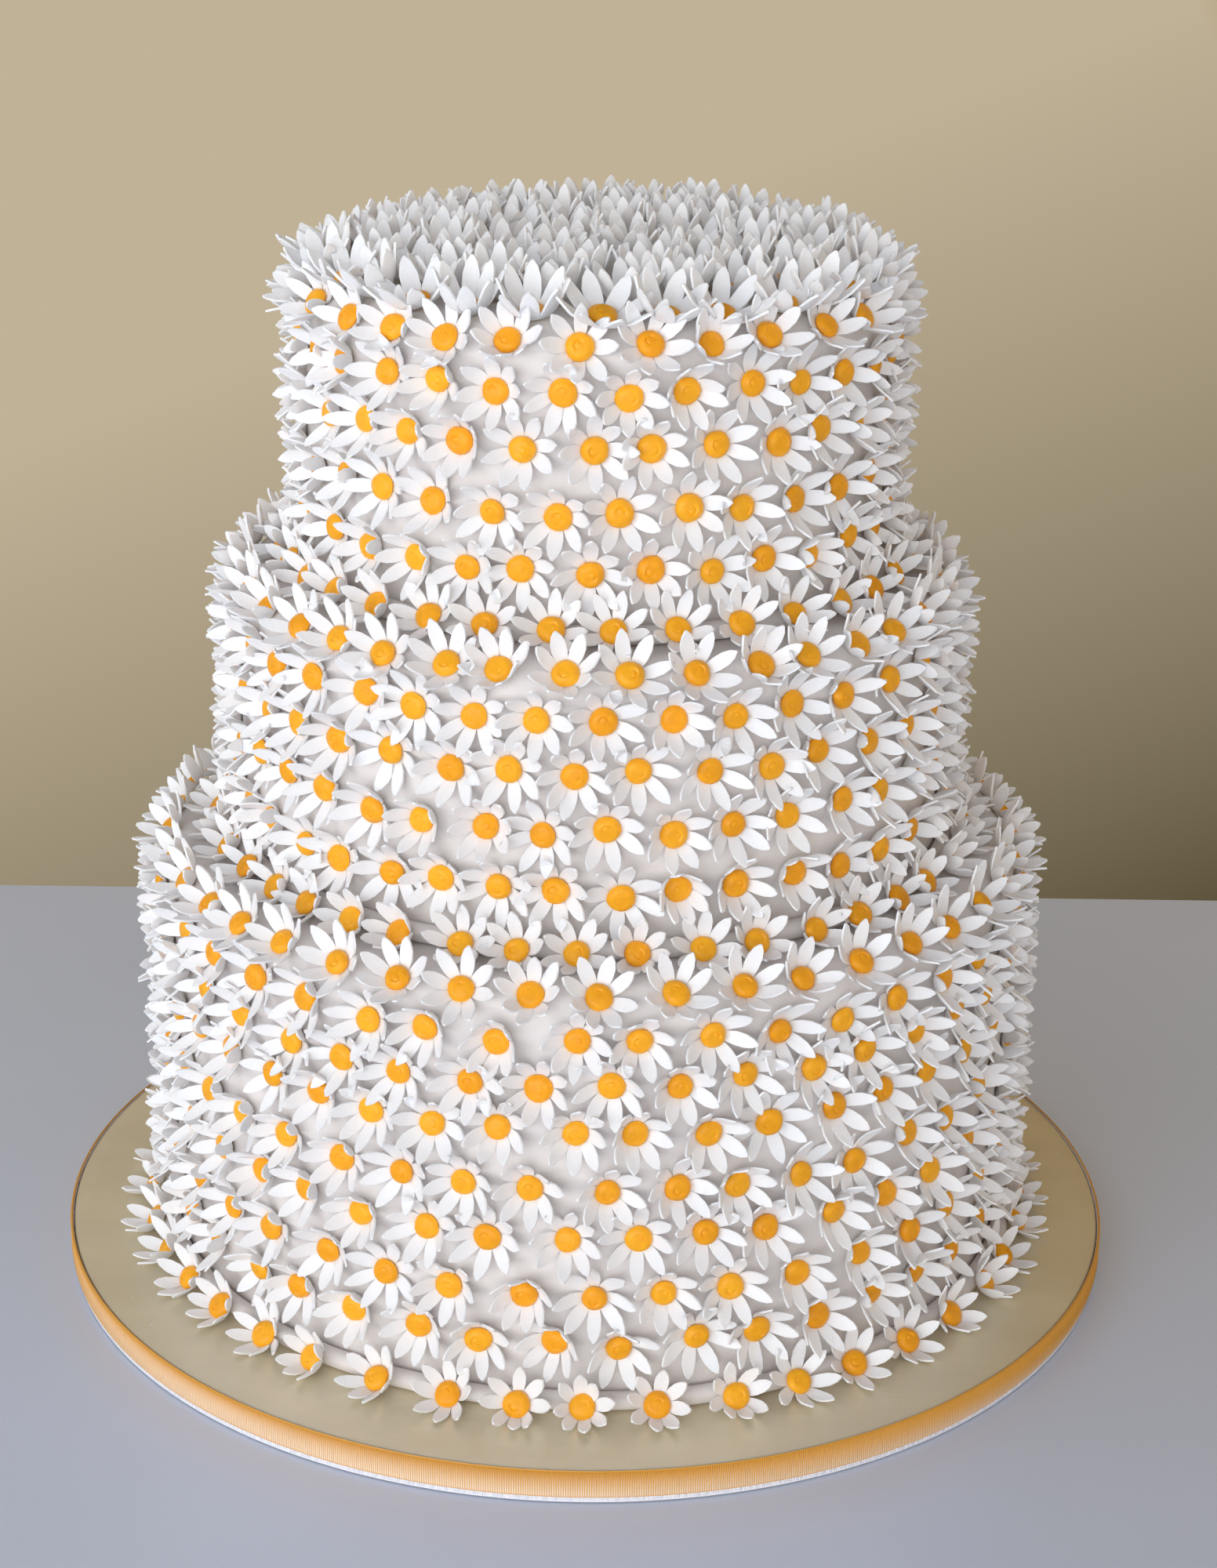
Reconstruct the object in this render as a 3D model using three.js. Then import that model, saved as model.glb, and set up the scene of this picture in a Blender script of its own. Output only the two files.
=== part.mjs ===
// A three-tier round wedding cake on its ribboned board. Every tier is coated all over with cupped
// sugar daisies, set in staggered rows, and has a rolled icing cord with daisies of its own round its foot.
// Millimetres, +Z up, the front of the cake faces -Y.
import * as THREE from "three";

// Board: a 16 inch drum, half an inch thick, with two ribbons round its edge.
const BOARD_RADIUS = 202.5;
const BOARD_THICKNESS = 12.5;
const BOARD_SIDES = 48;
const RIBBON_GAP = 0.25;
const RIBBON_THICKNESS = 0.5;
const UNDER_RIBBON = { bottom: 0.5, top: 11.75 };
const OVER_RIBBON = { bottom: 2.75, top: 12.75 };

// Flower: a daisy cut from sugar paste and dried in a hollow, so that its petals stand up round the centre.
const CENTRE_HEIGHT = 3.5;
const TIP_HEIGHT = 10.5;
const CROWN_TIP_HEIGHT = 13.5;
const TIP_REACH = 11.5;
const TIP_CLEARANCE = 0.45;

// Tiers: iced radius and height, and the rows of flowers up the side. A row is the height of its seats, how
// many flowers go round, and its turn as a share of their spacing. The foot row leans on the cord.
const TIERS = [
  {
    name: "bottom",
    radius: 161,
    height: 158.5,
    footRow: { height: 2, count: 42, turn: 0.06 },
    rows: [
      { height: 25, count: 42, turn: 0.53 },
      { height: 44.5, count: 41, turn: 0.1 },
      { height: 65.5, count: 42, turn: 0.68 },
      { height: 84, count: 43, turn: 0.23 },
      { height: 106, count: 44, turn: 0.76 },
      { height: 124, count: 43, turn: 0.28 },
      { height: 140, count: 42, turn: 0.78 },
      { height: 154.5, count: 42, turn: 0.2 },
    ],
  },
  {
    name: "middle",
    radius: 131,
    height: 103.5,
    footRow: { height: 2, count: 42, turn: 0.83 },
    rows: [
      { height: 23, count: 40, turn: 0.49 },
      { height: 45.5, count: 39, turn: 0.3 },
      { height: 66, count: 38, turn: 0.77 },
      { height: 85, count: 38, turn: 0.21 },
      { height: 99, count: 38, turn: 0.6 },
    ],
  },
  {
    name: "top",
    radius: 104.5,
    height: 107.5,
    footRow: { height: 4, count: 33, turn: 0.34 },
    rows: [
      { height: 24.5, count: 32, turn: 0.87 },
      { height: 45, count: 31, turn: 0.38 },
      { height: 66, count: 31, turn: 0.91 },
      { height: 85, count: 31, turn: 0.42 },
      { height: 100, count: 29, turn: 0.69 },
    ],
  },
];
// The lowest petals on the side stand clear of the flowers on the cord below.
const LOWEST_PETAL = { reach: 7.5, valleyDrop: 5.5 };
// The top edge is rounded over, and the last row of flowers looks up from it.
const EDGE = { seatIn: 2.8, tilt: THREE.MathUtils.degToRad(40), ledgeIn: 9 };
// The rolled cord lies in the corner at a tier's foot, and its flowers lean back on it.
const CORD = {
  gap: 0.8,
  thickness: 7,
  seatOut: 5.5,
  tilt: THREE.MathUtils.degToRad(32),
  petalReach: 9,
  restingTipUp: 1.5,
};
// Rings of flowers on the flat top of the highest tier, from the outside in.
const CROWN = { rings: 5, outerRadius: 89, spacing: 23.5, turn: 0.37 };

// Hand placing: how far a flower strays, as a share of the spacing or in millimetres.
const STRAY_AROUND = 0.1;
const STRAY_UP = 1.5;
const STRAY_TIP = 0.9;

// Colours.
const ICING_WHITE = 0xf2f0ee;
const BOARD_BEIGE = 0xb5a888;
const RIBBON_GOLD = 0xd09a48;
const RIBBON_WHITE = 0xe9e9f4;

// A number from -1 to 1 that depends only on the flower's tier, ring, place and what it is for.
function stray(tier, ring, place, use) {
  const wave = Math.sin(tier * 91.7 + ring * 12.9898 + place * 78.233 + use * 37.719) * 43758.5453;
  return 2 * (wave - Math.floor(wave)) - 1;
}

// A point on a circle about the cake's axis. Angle 0 is the front, and angles grow towards +X.
function onCircle(radius, angle, z) {
  return new THREE.Vector3(radius * Math.sin(angle), -radius * Math.cos(angle), z);
}

// A flower: its seat on the icing, the way it faces and the way up its face.
// Tilt 0 looks out level, and a quarter turn looks up.
function flowerAt(radius, angle, z, tilt, tipHeight) {
  const out = Math.cos(tilt);
  const up = Math.sin(tilt);
  return {
    angle,
    at: onCircle(radius, angle, z),
    facing: onCircle(out, angle, up),
    upFace: onCircle(-up, angle, out),
    tipHeight,
  };
}

// One ring of flowers. Straying moves a flower up the side, or out along the flat top.
function ringOfFlowers(tier, ring, { count, radius, z, tilt, turn, tipHeight, strayUp, strayOut }) {
  const step = (2 * Math.PI) / count;
  const flowers = [];
  for (let place = 0; place < count; place++) {
    const angle = (place + turn + STRAY_AROUND * stray(tier, ring, place, 1)) * step;
    const lift = STRAY_UP * stray(tier, ring, place, 2);
    const tip = tipHeight + STRAY_TIP * stray(tier, ring, place, 3);
    flowers.push(flowerAt(radius + strayOut * lift, angle, z + strayUp * lift, tilt, tip));
  }
  return flowers;
}

// The rings up the side of a tier: level rows, and an upturned row at the rounded edge.
function sideRings(tier, { radius, rows }) {
  return rows.map(({ height, count, turn }, row) => {
    const atEdge = row === rows.length - 1;
    return ringOfFlowers(tier, row, {
      count,
      radius: atEdge ? radius - EDGE.seatIn : radius,
      z: height,
      tilt: atEdge ? EDGE.tilt : 0,
      turn,
      tipHeight: TIP_HEIGHT,
      strayUp: atEdge ? 0.5 : 1,
      strayOut: 0,
    });
  });
}

// The rings on the flat top, down to a single flower in the middle.
function crownRings(tier, { height, rows }) {
  const rings = [];
  for (let step = 0; step < CROWN.rings; step++) {
    const radius = CROWN.outerRadius * (1 - step / (CROWN.rings - 1));
    rings.push(
      ringOfFlowers(tier, rows.length + step, {
        count: Math.max(1, Math.round((2 * Math.PI * radius) / CROWN.spacing)),
        radius,
        z: height,
        tilt: Math.PI / 2,
        turn: CROWN.turn * step,
        tipHeight: CROWN_TIP_HEIGHT,
        strayUp: 0,
        strayOut: radius > 0 ? 1 : 0,
      }),
    );
  }
  return rings;
}

// Triangles of neighbouring flowers between a ring and the next one up, each anticlockwise from outside.
function zip(lower, upper) {
  if (upper.length === 1)
    return lower.map((flower, i) => [flower, lower[(i + 1) % lower.length], upper[0]]);
  const angleOf = (ring, i) => ring[i % ring.length].angle + 2 * Math.PI * Math.floor(i / ring.length);
  const triangles = [];
  let low = 0;
  let high = 0;
  while (low < lower.length || high < upper.length) {
    const lowNext = angleOf(lower, low + 1) + angleOf(lower, low);
    const highNext = angleOf(upper, high + 1) + angleOf(upper, high);
    const a = lower[low % lower.length];
    const b = upper[high % upper.length];
    if (high >= upper.length || (low < lower.length && lowNext <= highNext))
      triangles.push([a, lower[++low % lower.length], b]);
    else triangles.push([a, upper[++high % upper.length], b]);
  }
  return triangles;
}

// A mesh under construction: points, and faces that run anticlockwise seen from outside.
class Skin {
  constructor() {
    this.points = [];
    this.faces = [];
  }
  point(at) {
    this.points.push(at.x, at.y, at.z);
    return this.points.length / 3 - 1;
  }
  face(...corners) {
    this.faces.push(...corners);
  }
  // Two faces of a petal from the flower's centre, with a valley on each side of the petal's tip.
  petal(centre, rightValley, tip, leftValley) {
    this.face(centre, rightValley, tip);
    this.face(centre, tip, leftValley);
  }
  // The same, with a third face that closes the petal's back down to the icing.
  standingPetal(centre, rightValley, tip, leftValley) {
    this.petal(centre, rightValley, tip, leftValley);
    this.face(tip, rightValley, leftValley);
  }
  // A flat disc inside a ring of points.
  disc(ring, facesDown) {
    for (let i = 1; i + 1 < ring.length; i++)
      if (facesDown) this.face(ring[0], ring[i + 1], ring[i]);
      else this.face(ring[0], ring[i], ring[i + 1]);
  }
  // A strip from one ring of points to another with as many points. It faces out from a low ring to a
  // high one, and down from an inner ring to an outer one.
  strip(from, to) {
    from.forEach((corner, i) => {
      const next = (i + 1) % from.length;
      this.face(corner, from[next], to[next]);
      this.face(corner, to[next], to[i]);
    });
  }
  geometry() {
    const made = new THREE.BufferGeometry();
    made.setAttribute("position", new THREE.Float32BufferAttribute(this.points, 3));
    made.setIndex(this.faces);
    made.computeVertexNormals();
    return made;
  }
}

const middle = (...points) =>
  points.reduce((sum, p) => sum.add(p), new THREE.Vector3()).divideScalar(points.length);

const centreOf = (flower) => flower.at.clone().addScaledVector(flower.facing, CENTRE_HEIGHT);

// The tip of a petal that points a given way round the flower's face: 0 to the right, a quarter turn up.
function tipOf(flower, way, reach) {
  const across = onCircle(1, flower.angle + Math.PI / 2, 0);
  return flower.at
    .clone()
    .addScaledVector(flower.facing, flower.tipHeight)
    .addScaledVector(across, reach * Math.cos(way))
    .addScaledVector(flower.upFace, reach * Math.sin(way));
}

// The tip of a petal of flower a that stands by itself beside its neighbour b in the same ring.
function sideTip(a, b) {
  const across = b.at.clone().sub(a.at);
  const reach = Math.min(TIP_REACH, TIP_CLEARANCE * across.length());
  return across
    .addScaledVector(a.facing, -across.dot(a.facing))
    .setLength(reach)
    .add(a.at)
    .addScaledVector(a.facing, a.tipHeight);
}

// The point where the petals of two flowers in neighbouring rings lean against each other.
function sharedTip(a, b) {
  const out = a.facing.clone().add(b.facing).normalize();
  return middle(a.at, b.at).addScaledVector(out, (a.tipHeight + b.tipHeight) / 2);
}

// One point on a circle between each flower of a ring and the next.
function ringBetween(skin, flowers, radius, z) {
  return flowers.map((flower, i) => {
    const next = flowers[(i + 1) % flowers.length];
    const nextAngle = next.angle + (i + 1 === flowers.length ? 2 * Math.PI : 0);
    return skin.point(onCircle(radius, (flower.angle + nextAngle) / 2, z));
  });
}

// The whole coat of flowers and icing round a tier, as one closed surface.
function coatedTier(size, rings, hasLedge) {
  const skin = new Skin();
  const flowers = rings.flat();
  const centres = new Map(flowers.map((flower) => [flower, skin.point(centreOf(flower))]));
  const number = new Map(flowers.map((flower, i) => [flower, i]));
  const side = (a, b) => number.get(a) + ">" + number.get(b);

  // Each triangle of flowers has one valley between them, found again from any of its directed sides.
  const valleyBeside = new Map();
  const pairs = [];
  for (let i = 0; i + 1 < rings.length; i++)
    for (const [a, b, c] of zip(rings[i], rings[i + 1])) {
      const valley = skin.point(middle(a.at, b.at, c.at));
      for (const [from, to] of [[a, b], [b, c], [c, a]]) {
        valleyBeside.set(side(from, to), valley);
        pairs.push([from, to]);
      }
    }

  // Below the lowest row the icing runs straight down to the tier's foot.
  const lowest = rings[0];
  const valleyHeight = size.rows[0].height - LOWEST_PETAL.valleyDrop;
  const below = ringBetween(skin, lowest, size.radius, valleyHeight);
  const foot = ringBetween(skin, lowest, size.radius, 0);
  lowest.forEach((flower, i) => {
    const before = (i + lowest.length - 1) % lowest.length;
    valleyBeside.set(side(lowest[(i + 1) % lowest.length], flower), below[i]);
    const tip = skin.point(tipOf(flower, -Math.PI / 2, LOWEST_PETAL.reach));
    skin.standingPetal(centres.get(flower), below[before], tip, below[i]);
  });
  skin.strip(foot, below);
  skin.disc(foot, true);

  // On the ledge the edge row's inner petals stand up in front of the tier above.
  if (hasLedge) {
    const edge = rings[rings.length - 1];
    const ledge = ringBetween(skin, edge, size.radius - EDGE.ledgeIn, size.height);
    edge.forEach((flower, i) => {
      const before = (i + edge.length - 1) % edge.length;
      const next = edge[(i + 1) % edge.length];
      valleyBeside.set(side(flower, next), ledge[i]);
      pairs.push([flower, next]);
      const tip = skin.point(tipOf(flower, Math.PI / 2, TIP_REACH));
      skin.standingPetal(centres.get(flower), ledge[i], tip, ledge[before]);
    });
    skin.disc(ledge, false);
  }

  // Every pair of neighbours: petals that stand apart within a ring, and lean together between rings.
  const ringOf = new Map(rings.flatMap((ring, i) => ring.map((flower) => [flower, i])));
  const done = new Set();
  for (const [a, b] of pairs) {
    if (done.has(side(a, b)) || done.has(side(b, a))) continue;
    done.add(side(a, b));
    const left = valleyBeside.get(side(a, b));
    const right = valleyBeside.get(side(b, a));
    if (ringOf.get(a) === ringOf.get(b)) {
      skin.standingPetal(centres.get(a), right, skin.point(sideTip(a, b)), left);
      skin.standingPetal(centres.get(b), left, skin.point(sideTip(b, a)), right);
    } else {
      const tip = skin.point(sharedTip(a, b));
      skin.petal(centres.get(a), right, tip, left);
      skin.petal(centres.get(b), left, tip, right);
    }
  }
  return skin.geometry();
}

// The rolled cord round a tier's foot with its leaning flowers, as one closed ring.
function floweredCord(tier, size) {
  const skin = new Skin();
  const inner = size.radius + CORD.gap;
  const flowers = ringOfFlowers(tier, -1, {
    count: size.footRow.count,
    radius: size.radius + CORD.seatOut,
    z: size.footRow.height,
    tilt: CORD.tilt,
    turn: size.footRow.turn,
    tipHeight: TIP_HEIGHT,
    strayUp: 0,
    strayOut: 0,
  });
  const topBetween = ringBetween(skin, flowers, inner, CORD.thickness);
  const outerBetween = ringBetween(skin, flowers, inner + CORD.thickness, 0);
  const innerBetween = ringBetween(skin, flowers, inner, 0);
  skin.strip(innerBetween, outerBetween);
  flowers.forEach((flower, i) => {
    const before = (i + flowers.length - 1) % flowers.length;
    const next = flowers[(i + 1) % flowers.length];
    const last = flowers[before];
    const centre = skin.point(centreOf(flower));
    const above = skin.point(onCircle(inner, flower.angle, CORD.thickness));
    const upRight = skin.point(tipOf(flower, Math.PI / 3, CORD.petalReach));
    const upLeft = skin.point(tipOf(flower, (2 * Math.PI) / 3, CORD.petalReach));
    const resting = onCircle(size.radius + CORD.seatOut + TIP_REACH, flower.angle, CORD.restingTipUp);
    skin.standingPetal(centre, topBetween[i], upRight, above);
    skin.standingPetal(centre, above, upLeft, topBetween[before]);
    skin.standingPetal(centre, topBetween[before], skin.point(sideTip(flower, last)), outerBetween[before]);
    skin.standingPetal(centre, outerBetween[before], skin.point(resting), outerBetween[i]);
    skin.standingPetal(centre, outerBetween[i], skin.point(sideTip(flower, next)), topBetween[i]);
    skin.face(innerBetween[before], topBetween[before], above);
    skin.face(innerBetween[before], above, innerBetween[i]);
    skin.face(innerBetween[i], above, topBetween[i]);
  });
  return skin.geometry();
}

function material(color, roughness) {
  return new THREE.MeshStandardMaterial({ color, roughness, metalness: 0, flatShading: true });
}

function namedMesh(name, geometry, finish) {
  const mesh = new THREE.Mesh(geometry, finish);
  mesh.name = name;
  return mesh;
}

// A round piece turned about the cake's axis from a list of radius and height pairs.
function turned(section) {
  const profile = section.map(([r, z]) => new THREE.Vector2(r, z));
  return new THREE.LatheGeometry(profile, BOARD_SIDES).rotateX(Math.PI / 2);
}

// A ribbon round the board's edge.
function ribbon(innerRadius, { bottom, top }) {
  const outerRadius = innerRadius + RIBBON_THICKNESS;
  return turned([
    [innerRadius, bottom],
    [outerRadius, bottom],
    [outerRadius, top],
    [innerRadius, top],
    [innerRadius, bottom],
  ]);
}

function boardAndRibbons() {
  const drum = turned([
    [0, 0],
    [BOARD_RADIUS, 0],
    [BOARD_RADIUS, BOARD_THICKNESS],
    [0, BOARD_THICKNESS],
  ]);
  const underRadius = BOARD_RADIUS + RIBBON_GAP;
  const overRadius = underRadius + RIBBON_THICKNESS + RIBBON_GAP;
  const group = new THREE.Group();
  group.add(
    namedMesh("cake_board", drum, material(BOARD_BEIGE, 0.6)),
    namedMesh("white_ribbon", ribbon(underRadius, UNDER_RIBBON), material(RIBBON_WHITE, 0.7)),
    namedMesh("gold_ribbon", ribbon(overRadius, OVER_RIBBON), material(RIBBON_GOLD, 0.5)),
  );
  return group;
}

function tierWithBorder(tier, size, isTop) {
  const rings = sideRings(tier, size);
  if (isTop) rings.push(...crownRings(tier, size));
  const group = new THREE.Group();
  group.add(
    namedMesh(`${size.name}_tier`, coatedTier(size, rings, !isTop), material(ICING_WHITE, 0.65)),
    namedMesh(`${size.name}_border`, floweredCord(tier, size), material(ICING_WHITE, 0.65)),
  );
  return group;
}

const cake = new THREE.Group();
cake.add(boardAndRibbons());
let level = BOARD_THICKNESS;
TIERS.forEach((size, tier) => {
  const stacked = tierWithBorder(tier, size, tier === TIERS.length - 1);
  stacked.position.z = level;
  cake.add(stacked);
  level += size.height;
});

export default cake;
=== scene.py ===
# %% [markdown]
# # A tiered cake covered in sugar daisies
# Three round tiers stand on a ribboned board. Every tier is covered with small cupped daisies, and a rolled
# icing cord with daisies of its own runs round its foot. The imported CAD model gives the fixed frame: it has
# the same tiers, rows and flowers in a plain faceted form. Here each of its nodes gets its real surface.
#
# Directions: +Z is up along the cake's axis and the side seen in the photograph faces -Y.
# Lengths are written in millimetres and multiplied by MM, because Blender works in metres.

import math

import bmesh
import bpy
import numpy as np
from mathutils import Matrix, Vector


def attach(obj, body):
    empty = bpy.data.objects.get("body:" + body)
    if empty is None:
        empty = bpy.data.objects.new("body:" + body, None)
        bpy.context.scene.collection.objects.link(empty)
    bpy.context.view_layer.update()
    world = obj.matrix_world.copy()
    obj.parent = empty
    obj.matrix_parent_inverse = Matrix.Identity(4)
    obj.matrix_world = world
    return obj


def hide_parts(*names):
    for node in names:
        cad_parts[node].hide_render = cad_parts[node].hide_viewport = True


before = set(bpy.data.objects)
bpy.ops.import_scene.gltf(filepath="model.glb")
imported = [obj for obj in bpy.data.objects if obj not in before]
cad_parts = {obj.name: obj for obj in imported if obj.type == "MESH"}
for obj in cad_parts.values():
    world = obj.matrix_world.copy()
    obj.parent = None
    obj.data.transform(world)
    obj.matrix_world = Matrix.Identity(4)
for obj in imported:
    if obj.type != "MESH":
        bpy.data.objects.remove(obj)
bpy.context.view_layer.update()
MM = 0.001

# %% [markdown]
# ## Sizes
# The tiers and rows are the CAD source's own, so every flower of a side sits where its faceted stand-in does.
# A row is the height of its seats above the tier's foot, how many flowers go round, and how far the ring is
# turned, as a share of the spacing. Each row is turned by about half a spacing against the next, which is
# how a decorator staggers them by eye. A crown ring is its radius, its lift off the flat top, its tilt from
# the horizontal and how far its petals close. There are more of these flowers than in the solid, as real
# ones crowd closer than plain facets can. A flower strays from its even place by up to STRAY_AROUND of the
# spacing round the cake and by up to STRAY_UP millimetres up or down. SHOULDER is the radius of a tier's
# rounded top edge.

# %% Sizes
BOARD_RADIUS = 202.5
BOARD_THICKNESS = 12.5
TIERS = [
    {
        "name": "bottom",
        "foot": 12.5,
        "radius": 161,
        "height": 158.5,
        "foot_row": (2.0, 42, 0.06),
        "rows": [
            (25, 42, 0.53),
            (44.5, 41, 0.1),
            (65.5, 42, 0.68),
            (84, 43, 0.23),
            (106, 44, 0.76),
            (124, 43, 0.28),
            (140, 42, 0.78),
            (154.5, 42, 0.2),
        ],
    },
    {
        "name": "middle",
        "foot": 171.0,
        "radius": 131,
        "height": 103.5,
        "foot_row": (2.0, 42, 0.83),
        "rows": [(23, 40, 0.49), (45.5, 39, 0.3), (66, 38, 0.77), (85, 38, 0.21), (99, 38, 0.6)],
    },
    {
        "name": "top",
        "foot": 274.5,
        "radius": 104.5,
        "height": 107.5,
        "foot_row": (4.0, 33, 0.34),
        "rows": [(24.5, 32, 0.87), (45, 31, 0.38), (66, 31, 0.91), (85, 31, 0.42), (100, 29, 0.69)],
    },
]
SHOULDER = 12
CROWN_RINGS = ((96, -0.3, 73, 8), (76, 0.8, 86, 13), (56, 1, 90, 16), (36, 1, 90, 16), (14, 1, 90, 16))
CROWN_SPACING = 21.5
CROWN_TURN = 0.37
CROWN_SIZE = 1.21
STRAY_AROUND = 0.08
STRAY_UP = 1.5

# %% [markdown]
# ## Small tools
# Loading the frame leaves the CAD nodes selected, and an operator acts on all that is selected, so everything
# is deselected first. Primitives are then shaped in edit mode: `select_parts` picks faces or edges by a test,
# for the operators, and `shape_points` hands all points of a piece to a function, as an array in millimetres,
# and writes back what it returns.

# %% Small tools
bpy.ops.object.select_all(action="DESELECT")
END_FACE_CORNERS = 100


def select_only(piece):
    bpy.ops.object.select_all(action="DESELECT")
    piece.select_set(True)
    bpy.context.view_layer.objects.active = piece


def select_parts(piece, kind, wanted):
    """In edit mode, selects the faces or edges that `wanted` accepts, and nothing else."""
    bpy.ops.mesh.select_mode(type=kind)
    bpy.ops.mesh.select_all(action="DESELECT")
    surface = bmesh.from_edit_mesh(piece.data)
    for part in surface.faces if kind == "FACE" else surface.edges:
        part.select = wanted(part)
    bmesh.update_edit_mesh(piece.data)


def is_end_face(face):
    """Only the flat round ends of a cylinder have so many corners."""
    return len(face.verts) > END_FACE_CORNERS


def rise(edge):
    """How far an edge climbs, in millimetres."""
    first, second = (v.co.z for v in edge.verts)
    return abs(second - first) / MM


def shape_points(piece, moved):
    select_only(piece)
    bpy.ops.object.mode_set(mode="EDIT")
    surface = bmesh.from_edit_mesh(piece.data)
    points = np.array([v.co for v in surface.verts]) / MM
    for vertex, place in zip(surface.verts, moved(points)):
        vertex.co = place * MM
    bmesh.update_edit_mesh(piece.data)
    bpy.ops.object.mode_set(mode="OBJECT")


def apply_modifier(piece, kind, **settings):
    select_only(piece)
    modifier = piece.modifiers.new(kind.title(), kind)
    for key, value in settings.items():
        setattr(modifier, key, value)
    bpy.ops.object.modifier_apply(modifier=modifier.name)


def settle(piece):
    """Puts the piece's place into its mesh, so that the object sits unturned at the origin."""
    select_only(piece)
    bpy.ops.object.transform_apply(location=True, rotation=True, scale=True)


def soften(piece, degrees):
    select_only(piece)
    bpy.ops.object.shade_smooth_by_angle(angle=math.radians(degrees))


def stand_for(piece, node):
    """The piece rides on the fixed frame and is shown in place of a CAD node."""
    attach(piece, "root")
    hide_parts(node)


def count_triangles(piece):
    return sum(len(face.vertices) - 2 for face in piece.data.polygons)


# %% [markdown]
# ## The board
# A cake drum is a disc of stiff board wrapped in paper, so its top edge is rounded a little where the paper
# turns over. A cylinder with a bevelled rim gives that, and the rings of faces that `inset` adds keep the
# flat top from being shaded as one huge face.

# %% Board
BOARD_ROUNDING = 0.9
BOARD_INSETS = (6, 60)
bpy.ops.mesh.primitive_cylinder_add(
    vertices=192,
    radius=BOARD_RADIUS * MM,
    depth=BOARD_THICKNESS * MM,
    location=(0, 0, BOARD_THICKNESS / 2 * MM),
)
board = bpy.context.object
board.name = "board_covering"
settle(board)
rounding = {"width": BOARD_ROUNDING * MM, "segments": 3}
apply_modifier(board, "BEVEL", limit_method="ANGLE", angle_limit=math.radians(60), **rounding)
bpy.ops.object.mode_set(mode="EDIT")
select_parts(board, "FACE", is_end_face)
for width in BOARD_INSETS:
    bpy.ops.mesh.inset(thickness=width * MM)
bpy.ops.object.mode_set(mode="OBJECT")
soften(board, 40)
stand_for(board, "cake_board")
print("board:", count_triangles(board), "triangles")

# %% [markdown]
# ## The two ribbons
# Grosgrain ribbon has fine upright ribs. They are real relief here: the ribbon is a tube with two columns of
# faces for every rib, and every second column of points is pushed out. Its woven edges are flat. The valleys
# between the ribs are marked for the material, which paints light into them: a painted pale sheen on the gold
# ribbon, which shows where it is seen straight on and is hidden by the ribs from the side, and painted shade
# on the white one. The white ribbon covers the board's edge and the gold one is laid over it, a little
# higher, so a strip of white shows below.

# %% Ribbons
RIB_PITCH = 0.8
RIB_RELIEF = 0.34
RIBBON_THICKNESS = 0.45
RIBBON_ROWS = 5
SELVEDGE = 0.55
SELVEDGE_RELIEF = 0.75


def column_of(points, ribs):
    """Which column of points each point stands in, counted round the ribbon."""
    return np.rint(np.arctan2(points[:, 1], points[:, 0]) / (math.pi / ribs)).astype(int)


def ribbon(name, inner_radius, bottom, top, lean_in=0.0):
    ribs = round(2 * math.pi * inner_radius / RIB_PITCH)
    bpy.ops.mesh.primitive_cylinder_add(
        vertices=2 * ribs,
        radius=inner_radius * MM,
        depth=(top - bottom) * MM,
        end_fill_type="NOTHING",
        location=(0, 0, (bottom + top) / 2 * MM),
    )
    band = bpy.context.object
    band.name = name
    settle(band)
    bpy.ops.object.mode_set(mode="EDIT")
    select_parts(band, "EDGE", lambda edge: rise(edge) > 1)
    bpy.ops.mesh.subdivide(number_cuts=RIBBON_ROWS - 1)
    bpy.ops.object.mode_set(mode="OBJECT")
    levels = (bottom, bottom + 0.8 * SELVEDGE, bottom + SELVEDGE, top - SELVEDGE, top - 0.8 * SELVEDGE, top)

    def ribbed(points):
        step = (top - bottom) / RIBBON_ROWS
        row = np.rint((points[:, 2] - bottom) / step).astype(int)
        on_crest = column_of(points, ribs) % 2 == 0
        on_selvedge = (row <= 1) | (row >= RIBBON_ROWS - 1)
        out = np.where(on_selvedge, SELVEDGE_RELIEF, np.where(on_crest, 1.0, 0.0)) * RIB_RELIEF
        out -= np.where(row == RIBBON_ROWS, lean_in, np.where(row == RIBBON_ROWS - 1, 0.6 * lean_in, 0))
        points[:, :2] *= (1 + out / inner_radius)[:, None]
        points[:, 2] = np.array(levels)[row]
        return points

    shape_points(band, ribbed)
    apply_modifier(band, "SOLIDIFY", thickness=-RIBBON_THICKNESS * MM, offset=-1)
    points = np.array([v.co for v in band.data.vertices]) / MM
    woven_edge = (points[:, 2] < bottom + 0.9 * SELVEDGE) | (points[:, 2] > top - 0.9 * SELVEDGE)
    # The crest mask lets the material paint light into the valleys: a pale painted sheen on gold, painted
    # shade on white.
    crest = np.where(woven_edge | (column_of(points, ribs) % 2 == 0), 1.0, 0.0).astype(np.float32)
    band.data.attributes.new("crest", "FLOAT", "POINT").data.foreach_set("value", crest)
    soften(band, 50)
    return band


# %% Both ribbons
white_ribbon = ribbon("ribbon_white_band", 202.6, 0.5, 11.75)
stand_for(white_ribbon, "white_ribbon")
gold_ribbon = ribbon("ribbon_gold_band", 203.25, 2.75, 12.75, lean_in=0.5)
stand_for(gold_ribbon, "gold_ribbon")
print("ribbons:", count_triangles(white_ribbon), "and", count_triangles(gold_ribbon), "triangles")

# %% [markdown]
# ## The iced tiers and their cords
# Rolled icing laid over a sponge gives straight sides and a generously rounded top edge. So a tier is a
# cylinder whose top rim is bevelled over 12 mm, and then everything is pushed about by a few tenths of a
# millimetre, as icing smoothed by hand is never quite true. The cord at its foot is a torus, also uneven.

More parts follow.
